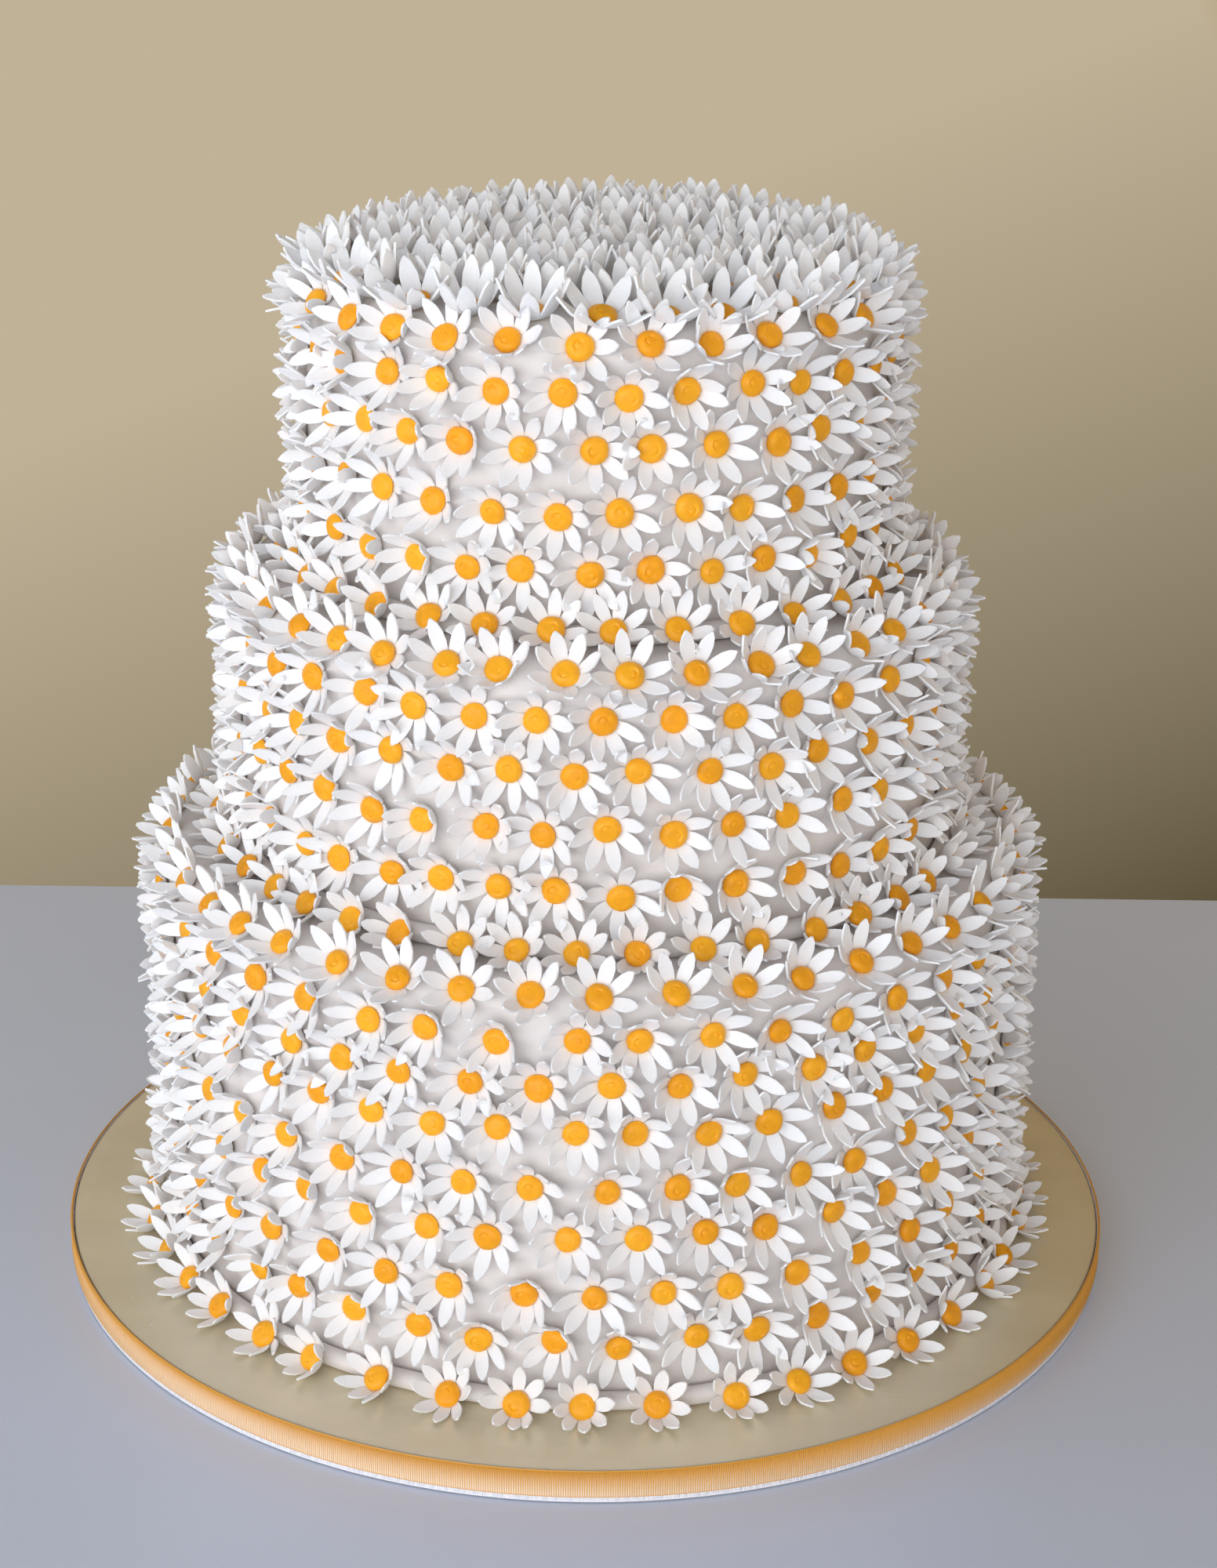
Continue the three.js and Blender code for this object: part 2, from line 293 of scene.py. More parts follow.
# %% Icing and cord values
ICING_UNEVENNESS = 0.22
ICING_WAVES = (35, 60, 110)
ICING_SINK = 0.12
ICING_INSETS = (6, 10, 14, 18)
ICING_SEED = 11
CORD_RADIUS = 3.5
CORD_GAP = 0.5
CORD_THINNING = 0.035
CORD_UNEVENNESS = 0.03
CORD_WAVES = (25, 60)
CORD_SEED = 31


def uneven(points, size, lengths, seed):
    """A smooth push in millimetres for each point: a few waves with fixed random directions."""
    dice = np.random.default_rng(seed)
    push = np.zeros(len(points))
    for length in lengths:
        for _ in range(3):
            direction = dice.normal(size=3)
            direction *= 2 * math.pi / (length * np.linalg.norm(direction))
            push += np.sin(points @ direction + dice.uniform(0, 2 * math.pi))
    return push * size / (3 * len(lengths)) ** 0.5


# %% Iced tier
def iced_tier(tier, seed):
    radius, height, foot = tier["radius"], tier["height"], tier["foot"]
    bpy.ops.mesh.primitive_cylinder_add(
        vertices=160,
        radius=radius * MM,
        depth=height * MM,
        location=(0, 0, (foot + height / 2) * MM),
    )
    body = bpy.context.object
    body.name = tier["name"] + "_tier_icing"
    settle(body)
    top_level = (foot + height) * MM
    bpy.ops.object.mode_set(mode="EDIT")
    select_parts(body, "EDGE", lambda edge: all(abs(v.co.z - top_level) < 1e-5 for v in edge.verts))
    bpy.ops.mesh.bevel(offset=SHOULDER * MM, segments=7, profile=0.5)
    select_parts(body, "EDGE", lambda edge: rise(edge) > height / 2)
    bpy.ops.mesh.subdivide(number_cuts=17)
    select_parts(body, "FACE", lambda face: is_end_face(face) and face.normal.z > 0.5)
    for width in ICING_INSETS:
        bpy.ops.mesh.inset(thickness=width * MM)
    bpy.ops.object.mode_set(mode="OBJECT")

    def hand_smoothed(points):
        push = uneven(points, ICING_UNEVENNESS, ICING_WAVES, seed)
        distance = np.maximum(np.linalg.norm(points[:, :2], axis=1), 1)
        points[:, :2] *= (1 + push / distance)[:, None]
        points[:, 2] -= np.where(points[:, 2] > foot + 1, ICING_SINK + 0.4 * push, 0)
        return points

    shape_points(body, hand_smoothed)
    soften(body, 40)
    return body


# %% Cord at a tier's foot
def cord_of(tier, seed):
    ring_radius = tier["radius"] + CORD_GAP + CORD_RADIUS
    level = tier["foot"] + CORD_RADIUS
    bpy.ops.mesh.primitive_torus_add(
        major_radius=ring_radius * MM,
        minor_radius=CORD_RADIUS * MM,
        major_segments=240,
        minor_segments=16,
        location=(0, 0, level * MM),
    )
    cord = bpy.context.object
    cord.name = tier["name"] + "_border_cord"
    settle(cord)

    def rolled(points):
        angle = np.arctan2(points[:, 1], points[:, 0])
        middle = ring_radius * np.stack([np.cos(angle), np.sin(angle)], 1)
        across = points[:, :2] - middle
        flat_middle = np.c_[middle, middle[:, :1] * 0]
        size = 1 - CORD_THINNING + CORD_UNEVENNESS * uneven(flat_middle, 1, CORD_WAVES, seed)
        points[:, :2] = middle + across * size[:, None]
        points[:, 2] = tier["foot"] + (points[:, 2] - level + CORD_RADIUS) * size
        return points

    shape_points(cord, rolled)
    soften(cord, 60)
    return cord


# %% Three tiers and three cords
icing_pieces = []
for number, tier in enumerate(TIERS):
    body = iced_tier(tier, ICING_SEED + number)
    stand_for(body, tier["name"] + "_tier")
    cord = cord_of(tier, CORD_SEED + number)
    stand_for(cord, tier["name"] + "_border")
    icing_pieces += [body, cord]
    print(tier["name"], "icing:", count_triangles(body), "cord:", count_triangles(cord), "triangles")

# %% [markdown]
# ## One petal, three ways
# A daisy is cut from sugar paste with a 34 mm cutter and dried in a hollow former, so each petal leaves the
# middle almost flat and then sweeps up. A petal starts as a grid three points wide and six long. Its rows
# are placed along the sweep, widest halfway out and ending in a blunt point. Then `Solidify` gives it the
# paste's thickness. It is copied some seven thousand times, so it has only 34 faces. Its face is shaded
# smooth and its cut rim stays crisp. Hand-dried petals differ, so there are three: plain, flatter, more
# cupped.

# %% Petal models
PETALS_OF_A_FLOWER = 8
PETAL_ROOT = np.array([0.0, 2.5, 0.6])
PETAL_THICKNESS = 0.7
PETAL_WIDTHS = (1.3, 2.05, 2.55, 2.5, 1.65, 0.35)
PETAL_SWEEPS = {
    "plain": ((2.5, 0.6), (5.0, 1.35), (7.6, 3.2), (10.0, 5.8), (11.9, 8.4), (13.1, 10.0)),
    "flatter": ((2.5, 0.6), (5.1, 1.3), (7.9, 2.7), (10.6, 4.8), (12.7, 7.1), (14.0, 8.5)),
    "cupped": ((2.5, 0.6), (4.9, 1.5), (7.1, 3.8), (9.1, 6.8), (10.6, 9.6), (11.4, 11.1)),
}
PETAL_STEPS = len(PETAL_WIDTHS) - 1
PETAL_HOLLOWS = {"plain": 0.3, "flatter": 0.1, "cupped": 0.5}
HOLLOW_PULL = 0.3


def petal_model(kind):
    """The petal's points go across (x), out from the flower's middle (y) and up off the icing (z)."""
    bpy.ops.mesh.primitive_grid_add(x_subdivisions=2, y_subdivisions=PETAL_STEPS, size=2 * MM)
    petal = bpy.context.object
    petal.name = "petal_model_" + kind

    def swept(points):
        side = np.rint(points[:, 0])
        row = np.rint((points[:, 1] + 1) / 2 * PETAL_STEPS).astype(int)
        sweep = np.array(PETAL_SWEEPS[kind])[row]
        width = np.array(PETAL_WIDTHS)[row]
        hollow = PETAL_HOLLOWS[kind] * np.abs(side) * width / max(PETAL_WIDTHS)
        return np.stack([side * width, sweep[:, 0] - HOLLOW_PULL * hollow, sweep[:, 1] + hollow], 1)

    shape_points(petal, swept)
    apply_modifier(petal, "SOLIDIFY", thickness=PETAL_THICKNESS * MM, offset=0)
    points = np.array([v.co for v in petal.data.vertices]) / MM
    faces = [tuple(face.vertices) for face in petal.data.polygons]
    bpy.data.objects.remove(petal)
    return points, faces


petal_models = [petal_model(kind) for kind in PETAL_SWEEPS]
petal_faces = petal_models[0][1]
print("petal:", len(petal_models[0][0]), "points and", len(petal_faces), "faces")

# %% [markdown]
# ## One centre
# The yellow centres are piped: a flat round blob that spreads at its foot and ends in a small off-centre
# peak where the nozzle was pulled away. A sphere with few rings is pressed into that section.

# %% Centre model
CENTRE_SECTION = ((0, 0.1), (4.2, 0.3), (4.75, 1.3), (4.2, 2.6), (2.5, 3.35), (1.3, 2.95), (0, 3.75))
CENTRE_RINGS = len(CENTRE_SECTION) - 1
CENTRE_SIDES = 14
PEAK_SHIFT = (0.6, -0.18)


def centre_model():
    bpy.ops.mesh.primitive_uv_sphere_add(segments=CENTRE_SIDES, ring_count=CENTRE_RINGS, radius=1 * MM)
    blob = bpy.context.object
    blob.name = "centre_model"

    def pressed(points):
        height = np.arcsin(np.clip(points[:, 2], -1, 1)) / math.pi + 0.5
        ring = np.rint(height * CENTRE_RINGS).astype(int)
        section = np.array(CENTRE_SECTION)[ring]
        turn = np.arctan2(points[:, 1], points[:, 0])
        on_peak = ring >= CENTRE_RINGS - 1
        across = section[:, 0] * np.cos(turn) + PEAK_SHIFT[0] * on_peak
        along = section[:, 0] * np.sin(turn) + PEAK_SHIFT[1] * on_peak
        return np.stack([across, along, section[:, 1]], 1)

    shape_points(blob, pressed)
    points = np.array([v.co for v in blob.data.vertices]) / MM
    faces = [tuple(face.vertices) for face in blob.data.polygons]
    bpy.data.objects.remove(blob)
    return points, faces


centre_points, centre_faces = centre_model()
print("centre:", len(centre_points), "points and", len(centre_faces), "faces")

# %% [markdown]
# ## Where the flowers go
# Every flower has a seat on the icing, the way it faces, the way up its face, its size and how far its petals
# close up. `stray` is the CAD source's own pseudo-random number, so that the flowers stray from their even
# places just as there. Angle 0 is the front, and angles grow towards +X. The last row of a side sits on the
# rounded shoulder, so its seat is found on that arc. The flowers on the flat top stand taller and closer.
# The kinds are the chances of a plain, a flatter and a more cupped petal.

# %% Flower places
ANY_KIND = (0.5, 0.3, 0.2)
STRAIGHT_KINDS = (0.65, 0.35, 0.0)
SHOULDER_LEAN = math.radians(40)
FOOT_SEAT_OUT = 8.4
FOOT_LIFT = 1.4
FOOT_TILT = math.radians(40)
FOOT_SIZE = 0.94
FOOT_CLOSING = 2


def stray(tier, ring, place, use):
    wave = math.sin(tier * 91.7 + ring * 12.9898 + place * 78.233 + use * 37.719) * 43758.5453
    return 2 * (wave - math.floor(wave)) - 1


def ring_of_flowers(
    tier, ring, count, radius, z, tilt, turn, up=0.0, out=0.0, size=1.0, closing=0.0, kinds=ANY_KIND
):
    flowers = []
    for place in range(count):
        angle = (place + turn + STRAY_AROUND * stray(tier, ring, place, 1)) * 2 * math.pi / count
        lift = STRAY_UP * stray(tier, ring, place, 2)
        outward = np.array([math.sin(angle), -math.cos(angle), 0])
        upward = np.array([0, 0, 1])
        flowers.append(
            {
                "seat": outward * (radius + out * lift) + upward * (z + up * lift),
                "facing": outward * math.cos(tilt) + upward * math.sin(tilt),
                "up_face": upward * math.cos(tilt) - outward * math.sin(tilt),
                "size": size,
                "closing": math.radians(closing),
                "kinds": kinds,
            }
        )
    return flowers


# %% Flowers of the sides, the crown and the foot rows
def side_flowers(number, tier):
    flowers = []
    for ring, (height, count, turn) in enumerate(tier["rows"][:-1]):
        flowers += ring_of_flowers(number, ring, count, tier["radius"], tier["foot"] + height, 0, turn, up=1)
    height, count, turn = tier["rows"][-1]
    ring = len(tier["rows"]) - 1
    slope = math.asin((SHOULDER - tier["height"] + height) / SHOULDER)
    radius = tier["radius"] - SHOULDER * (1 - math.cos(slope))
    tilt = (slope + SHOULDER_LEAN) / 2
    return flowers + ring_of_flowers(number, ring, count, radius, tier["foot"] + height, tilt, turn, up=0.5)


def crown_flowers(number, tier):
    flowers = []
    for step, (radius, lift, tilt, closing) in enumerate(CROWN_RINGS):
        count = round(2 * math.pi * radius / CROWN_SPACING)
        ring = len(tier["rows"]) + step
        z = tier["foot"] + tier["height"] + lift
        look = {"size": CROWN_SIZE, "closing": closing, "kinds": STRAIGHT_KINDS}
        tilt = math.radians(tilt)
        flowers += ring_of_flowers(number, ring, count, radius, z, tilt, CROWN_TURN * step, out=1, **look)
    return flowers


def foot_flowers(number, tier):
    height, count, turn = tier["foot_row"]
    z = tier["foot"] + height + FOOT_LIFT
    radius = tier["radius"] + FOOT_SEAT_OUT
    look = {"size": FOOT_SIZE, "closing": FOOT_CLOSING}
    return ring_of_flowers(number, -1, count, radius, z, FOOT_TILT, turn, **look)


# %% Every flower's place
places = {}
for number, tier in enumerate(TIERS):
    places[tier["name"] + "_tier"] = side_flowers(number, tier)
    places[tier["name"] + "_border"] = foot_flowers(number, tier)
places["top_tier"] += crown_flowers(2, TIERS[2])
print("flowers:", {name: len(flowers) for name, flowers in places.items()})

# %% [markdown]
# ## Turning the flowers clear of each other
# Neighbouring daisies reach into each other's space, and a decorator turns each one until its petals lie
# between those of its neighbours. Here every flower is tried in a dozen or so random turns and tips, and the
# one that keeps its petals clearest of the flowers already placed is kept. The petals of a flower dried in
# the same hollow, so they are mostly of one kind, and each has its own small stretch, rise, twist and place.
# The points of a petal that PROBES names stand for it when gaps to its neighbours are measured.
# All of this comes from one seeded generator, so it is the same every time.

# %% Petal placing tools
FLOWER_TIP = math.radians(4)
FLOWER_CLOSING = math.radians(4)
FLOWER_SIZES = (0.96, 1.04)
PETAL_LENGTHS = (0.95, 1.03)
PETAL_BREADTHS = (0.92, 1.06)
PETAL_PITCH = math.radians(2.5)
PETAL_TWIST = math.radians(3.5)
PETAL_SHIFT = math.radians(2)
ODD_PETALS = 0.2
TRIALS = 14
CLEAR_DISTANCE = 2.2
NEIGHBOUR_DISTANCE = 34
PROBES = (7, 10, 13, 16, 9, 11, 12, 14)
FAR_AWAY = 1e6


def turned(angles, axis):
    """Rotation matrices by angles about x, y or z (axis 0, 1 or 2)."""
    c, s = np.cos(angles), np.sin(angles)
    matrices = np.zeros((len(angles), 3, 3))
    a, b = [i for i in range(3) if i != axis]
    matrices[:, axis, axis] = 1
    matrices[:, a, a] = matrices[:, b, b] = c
    matrices[:, a, b], matrices[:, b, a] = -s, s
    return matrices


def flower_axes(flower, tips):
    """The flower's side, up-face and facing directions as matrix columns, tipped about its own x and y."""
    side = np.cross(flower["up_face"], flower["facing"])
    axes = np.stack([side, flower["up_face"], flower["facing"]], 1)
    return axes @ turned(tips[:, 0], 0) @ turned(tips[:, 1], 1)


def petal_points(shapes, petals, pitch, spin, seat, axes):
    """Points of petals in the cake's frame. All arguments hold one row for each petal."""
    local = (shapes[petals["kind"]] - PETAL_ROOT) * petals["stretch"][:, None, :]
    bend = turned(pitch, 0) @ turned(petals["twist"], 1)
    raised = np.einsum("nij,nkj->nki", bend, local) + PETAL_ROOT
    place = axes @ turned(spin + petals["shift"], 2)
    return seat[:, None, :] + np.einsum("nij,nkj->nki", place, raised)


# %% Turn every flower
shapes = np.stack([points for points, _ in petal_models])
every_flower = [flower for flowers in places.values() for flower in flowers]
seats = np.array([flower["seat"] for flower in every_flower])
dice = np.random.default_rng(7)
count = PETALS_OF_A_FLOWER
probe_points = np.full((len(every_flower), count * len(PROBES), 3), FAR_AWAY)
even_spin = np.arange(count) * 2 * math.pi / count
for index, flower in enumerate(every_flower):
    length = flower["size"] * dice.uniform(*FLOWER_SIZES) * dice.uniform(*PETAL_LENGTHS, count)
    own_kinds = dice.choice(len(shapes), size=count, p=flower["kinds"])
    petals = {
        "kind": np.where(dice.uniform(0, 1, count) < ODD_PETALS, own_kinds, own_kinds[0]),
        "stretch": np.stack([flower["size"] * dice.uniform(*PETAL_BREADTHS, count), length, length], 1),
        "twist": dice.normal(0, PETAL_TWIST, count),
        "shift": dice.normal(0, PETAL_SHIFT, count),
        "pitch": dice.normal(0, PETAL_PITCH, count),
    }
    near = np.nonzero(np.linalg.norm(seats[:index] - seats[index], axis=1) < NEIGHBOUR_DISTANCE)[0]
    others = probe_points[near].reshape(-1, 3)
    best = None
    for _ in range(TRIALS):
        spin = even_spin + dice.uniform(0, 2 * math.pi / count)
        closing = flower["closing"] + dice.normal(0, FLOWER_CLOSING)
        axes = flower_axes(flower, dice.normal(0, FLOWER_TIP, (1, 2)))
        seat = np.repeat(flower["seat"][None], count, 0)
        pitch = closing + petals["pitch"]
        probes = petal_points(shapes[:, PROBES], petals, pitch, spin, seat, np.repeat(axes, count, 0))
        probes = probes.reshape(-1, 3)
        gaps = np.linalg.norm(probes[:, None] - others[None], axis=2)
        crowding = (np.maximum(CLEAR_DISTANCE - gaps, 0) ** 2).sum()
        if best is None or crowding < best["crowding"]:
            best = {"crowding": crowding, "spin": spin, "pitch": pitch, "axes": axes[0], "probes": probes}
    probe_points[index] = best["probes"]
    flower.update(best, petals=petals)
crowded = sum(flower["crowding"] > 0 for flower in every_flower)
print("flowers placed:", len(every_flower), "of which touching a neighbour:", int(crowded))

# %% [markdown]
# ## Copying the flowers
# Seven thousand separate petals would be slow to handle, so the copies of a tier are worked out as arrays
# and written as one mesh. Where a petal of a foot row would dip into the board or ledge, it is raised in
# small steps until it clears it, as the real ones rest on it.
# Two numbers are kept on every point for the material: the petal's own tone and how far out it is.

# %% Copying tools
PETAL_CLEARANCE = 0.3
PITCH_STEP = math.radians(3)
MOST_PITCH_STEPS = 14
PETAL_REACH = 9.5
CENTRE_LIFT = 1.2
CENTRE_SIZES = (0.95, 1.07)
CENTRE_ROUNDNESS = (0.95, 1.0)
CENTRE_HEIGHTS = (0.85, 1.1)
CENTRE_WOBBLE = 0.02


def mesh_of_copies(name, points, faces, values):
    """One mesh of many copies: points is copies x points x 3 in mm, values are attributes by name."""
    copies, size = points.shape[:2]
    mesh = bpy.data.meshes.new(name)
    all_faces = [tuple(corner + size * copy for corner in face) for copy in range(copies) for face in faces]
    mesh.from_pydata((points.reshape(-1, 3) * MM).tolist(), [], all_faces)
    for key, value in values.items():
        attribute = mesh.attributes.new(key, "FLOAT", "POINT")
        attribute.data.foreach_set("value", np.ascontiguousarray(value, dtype=np.float32).ravel())
    piece = bpy.data.objects.new(name, mesh)
    bpy.context.scene.collection.objects.link(piece)
    soften(piece, 50)
    return piece


def petals_of(name, flowers, floor=None):
    petals = {key: np.concatenate([f["petals"][key] for f in flowers]) for key in flowers[0]["petals"]}
    pitch = np.concatenate([flower["pitch"] for flower in flowers])
    spin = np.concatenate([flower["spin"] for flower in flowers])
    seat = np.repeat(np.array([flower["seat"] for flower in flowers]), PETALS_OF_A_FLOWER, 0)
    axes = np.repeat(np.array([flower["axes"] for flower in flowers]), PETALS_OF_A_FLOWER, 0)
    points = petal_points(shapes, petals, pitch, spin, seat, axes)
    if floor is not None:
        for _ in range(MOST_PITCH_STEPS):
            low = points[:, :, 2].min(1) < floor + PETAL_CLEARANCE
            pitch = pitch + np.where(low, PITCH_STEP, 0)
            points = petal_points(shapes, petals, pitch, spin, seat, axes)
        depth = floor - points[:, :, 2].min()
        print(name, "petals still low:", int(low.sum()), "deepest in mm:", round(float(depth), 2))
    tone = np.repeat(dice.uniform(0, 1, len(pitch))[:, None], shapes.shape[1], 1)
    # reach, how far out a point lies, lets the material paint warm shade and a yellow reflection at the
    # petal's root.
    reach = np.clip((shapes[petals["kind"]][:, :, 1] - PETAL_ROOT[1]) / PETAL_REACH, 0, 1)
    return mesh_of_copies(name + "_petals", points, petal_faces, {"tone": tone, "reach": reach})


def centres_of(name, flowers):
    count = len(flowers)
    size = dice.uniform(*CENTRE_SIZES, (count, 1)) * np.ones((1, 3))
    size[:, 1] *= dice.uniform(*CENTRE_ROUNDNESS, count)
    size[:, 2] *= dice.uniform(*CENTRE_HEIGHTS, count)
    local = centre_points[None] * size[:, None, :]
    turn = np.arctan2(centre_points[:, 1], centre_points[:, 0])
    wave = dice.uniform(0, 2 * math.pi, (count, 1))
    wobble = CENTRE_WOBBLE * (np.sin(3 * turn + wave) + 0.6 * np.sin(5 * turn - 2 * wave))
    local[:, :, :2] *= (1 + wobble)[:, :, None]
    axes = np.array([flower["axes"] for flower in flowers]) @ turned(wave[:, 0], 2)
    seat = np.array([flower["seat"] for flower in flowers])
    points = seat[:, None, :] + np.einsum("nij,nkj->nki", axes, local + [0, 0, CENTRE_LIFT])
    tone = np.repeat(dice.uniform(0, 1, (count, 1)), len(centre_points), 1)
    return mesh_of_copies(name + "_centres", points, centre_faces, {"tone": tone})


# %% [markdown]
# Each tier and each foot row gets one piece of petals and one of centres, because they differ in material.
# Both stand for the same node as the icing or cord under them. Only the foot rows have a floor to clear.

# %% Copy the flowers
petal_pieces = []
centre_pieces = []
floors = {tier["name"] + "_border": tier["foot"] for tier in TIERS}
for node, flowers in places.items():
    petals = petals_of(node, flowers, floors.get(node))
    centres = centres_of(node, flowers)
    stand_for(petals, node)
    stand_for(centres, node)
    petal_pieces.append(petals)
    centre_pieces.append(centres)
    print(node, "petals:", count_triangles(petals), "centres:", count_triangles(centres), "triangles")

# %% [markdown]
# ## Materials
# All the sugar has the same fine grain, so that grain is one node group that gives a normal, and each
# material adds its own colour. Sugar paste is matte and lets a little light through. The piped yellow is
# smoother. Colours are linear values.

# %% Material tools
def new_material(name, pieces):
    material = bpy.data.materials.new(name)
    material.use_nodes = True
    for piece in pieces:
        piece.data.materials.clear()
        piece.data.materials.append(material)
    nodes, links = material.node_tree.nodes, material.node_tree.links
    shader = nodes["Principled BSDF"]
    return nodes, links, shader


def noise(nodes, links, scale, detail=3.0, stretch=None):
    """Noise over the piece's own coordinates, scale in features per metre; returns its value socket."""
    place = nodes.new("ShaderNodeTexCoord").outputs["Object"]
    if stretch:
        mapping = nodes.new("ShaderNodeMapping")
        mapping.inputs["Scale"].default_value = stretch
        links.new(place, mapping.inputs["Vector"])
        place = mapping.outputs["Vector"]
    texture = nodes.new("ShaderNodeTexNoise")
    texture.inputs["Scale"].default_value = scale
    texture.inputs["Detail"].default_value = detail
    links.new(place, texture.inputs["Vector"])
    return texture.outputs["Fac"]


def between(nodes, links, factor, low, high, low_at=0.0, high_at=1.0):
    """A colour ramp between two colours, driven by factor."""
    ramp = nodes.new("ShaderNodeValToRGB")
    ramp.color_ramp.elements[0].position = low_at
    ramp.color_ramp.elements[1].position = high_at
    ramp.color_ramp.elements[0].color = (*low, 1)
    ramp.color_ramp.elements[1].color = (*high, 1)
    links.new(factor, ramp.inputs["Fac"])
    return ramp.outputs["Color"]


def multiplied(nodes, links, first, second):
    mix = nodes.new("ShaderNodeMix")
    mix.data_type = "RGBA"
    mix.blend_type = "MULTIPLY"
    mix.inputs["Factor"].default_value = 1
    links.new(first, mix.inputs["A"])
    links.new(second, mix.inputs["B"])
    return mix.outputs["Result"]


def attribute(nodes, name):
    node = nodes.new("ShaderNodeAttribute")
    node.attribute_name = name
    return node.outputs["Fac"]


def distance_towards(nodes, links, direction):
    """How far a point of the piece lies in a direction."""
    product = nodes.new("ShaderNodeVectorMath")
    product.operation = "DOT_PRODUCT"
    product.inputs[1].default_value = direction
    links.new(nodes.new("ShaderNodeTexCoord").outputs["Object"], product.inputs[0])
    return product.outputs["Value"]


# %% Sugar grain
def grain_group():
    """Fine sugar grain over a softer unevenness, given out as a normal."""
    group = bpy.data.node_groups.new("sugar_grain", "ShaderNodeTree")
    group.interface.new_socket("Strength", in_out="INPUT", socket_type="NodeSocketFloat")
    group.interface.new_socket("Normal", in_out="OUTPUT", socket_type="NodeSocketVector")
    nodes, links = group.nodes, group.links
    start = nodes.new("NodeGroupInput")
    end = nodes.new("NodeGroupOutput")
    soft = nodes.new("ShaderNodeBump")
    soft.inputs["Distance"].default_value = 0.5 * MM
    links.new(noise(nodes, links, 450, 2), soft.inputs["Height"])
    links.new(start.outputs["Strength"], soft.inputs["Strength"])
    fine = nodes.new("ShaderNodeBump")
    fine.inputs["Distance"].default_value = 0.12 * MM
    links.new(noise(nodes, links, 2600, 3), fine.inputs["Height"])
    links.new(start.outputs["Strength"], fine.inputs["Strength"])
    links.new(soft.outputs["Normal"], fine.inputs["Normal"])
    links.new(fine.outputs["Normal"], end.inputs["Normal"])
    return group


sugar_grain = grain_group()


def add_grain(nodes, links, shader, strength):
    grain = nodes.new("ShaderNodeGroup")
    grain.node_tree = sugar_grain
    grain.inputs["Strength"].default_value = strength
    links.new(grain.outputs["Normal"], shader.inputs["Normal"])


# %% [markdown]
# ## Petals, centres and icing
# The petals are a cool white, each a little lighter or darker than the next, with painted warm shade and a
# painted yellow reflection at the root, next to the centre. The centres are egg-yolk yellow with faint
# blotches, and the icing between the flowers is a warmer white. The root and the tones come from the numbers
# kept on the points.

# %% Petal material
nodes, links, shader = new_material("petal_paste", petal_pieces)
own_tone = between(nodes, links, attribute(nodes, "tone"), (0.88, 0.885, 0.9), (0.95, 0.95, 0.96))
# Painted warm shade and a painted yellow reflection: each petal's root is warmer and darker next to the
# centre.
root_painted_shade = between(nodes, links, attribute(nodes, "reach"), (1.0, 0.93, 0.8), (1, 1, 1), 0.12, 0.38)
links.new(multiplied(nodes, links, own_tone, root_painted_shade), shader.inputs["Base Color"])
shader.inputs["Roughness"].default_value = 0.5
shader.inputs["Specular IOR Level"].default_value = 0.4
shader.inputs["Subsurface Weight"].default_value = 0.5
shader.inputs["Subsurface Radius"].default_value = (1.0, 0.85, 0.72)
shader.inputs["Subsurface Scale"].default_value = 1.8 * MM
add_grain(nodes, links, shader, 0.25)

# %% Centre material
nodes, links, shader = new_material("centre_paste", centre_pieces)
own_tone = between(nodes, links, attribute(nodes, "tone"), (0.91, 0.37, 0.008), (0.98, 0.45, 0.014))
blotches = between(nodes, links, noise(nodes, links, 320), (0.93, 0.9, 0.85), (1, 1, 1), 0.35, 0.6)
links.new(multiplied(nodes, links, own_tone, blotches), shader.inputs["Base Color"])
shader.inputs["Roughness"].default_value = 0.42
shader.inputs["Specular IOR Level"].default_value = 0.3
shader.inputs["Subsurface Weight"].default_value = 0.1
shader.inputs["Subsurface Radius"].default_value = (1.0, 0.5, 0.1)
shader.inputs["Subsurface Scale"].default_value = 1.0 * MM
add_grain(nodes, links, shader, 0.35)

# %% Icing material
nodes, links, shader = new_material("rolled_icing", icing_pieces)
links.new(
    between(nodes, links, noise(nodes, links, 60), (0.8, 0.745, 0.715), (0.85, 0.8, 0.775), 0.35, 0.65),
    shader.inputs["Base Color"],
)
shader.inputs["Roughness"].default_value = 0.55
shader.inputs["Specular IOR Level"].default_value = 0.35
shader.inputs["Subsurface Weight"].default_value = 0.15
shader.inputs["Subsurface Radius"].default_value = (1.0, 0.8, 0.65)
shader.inputs["Subsurface Scale"].default_value = 2 * MM
add_grain(nodes, links, shader, 0.3)

# %% [markdown]
# ## Board and ribbon materials
# The board's paper is a satin beige-gold with faint brushed streaks and a few specks of fallen icing
# sugar. The ribbons are woven: their ribs are modelled, so the material paints light between them, a pale
# painted sheen on the gold ribbon and painted shade on the white one, and adds a fine uneven weave.

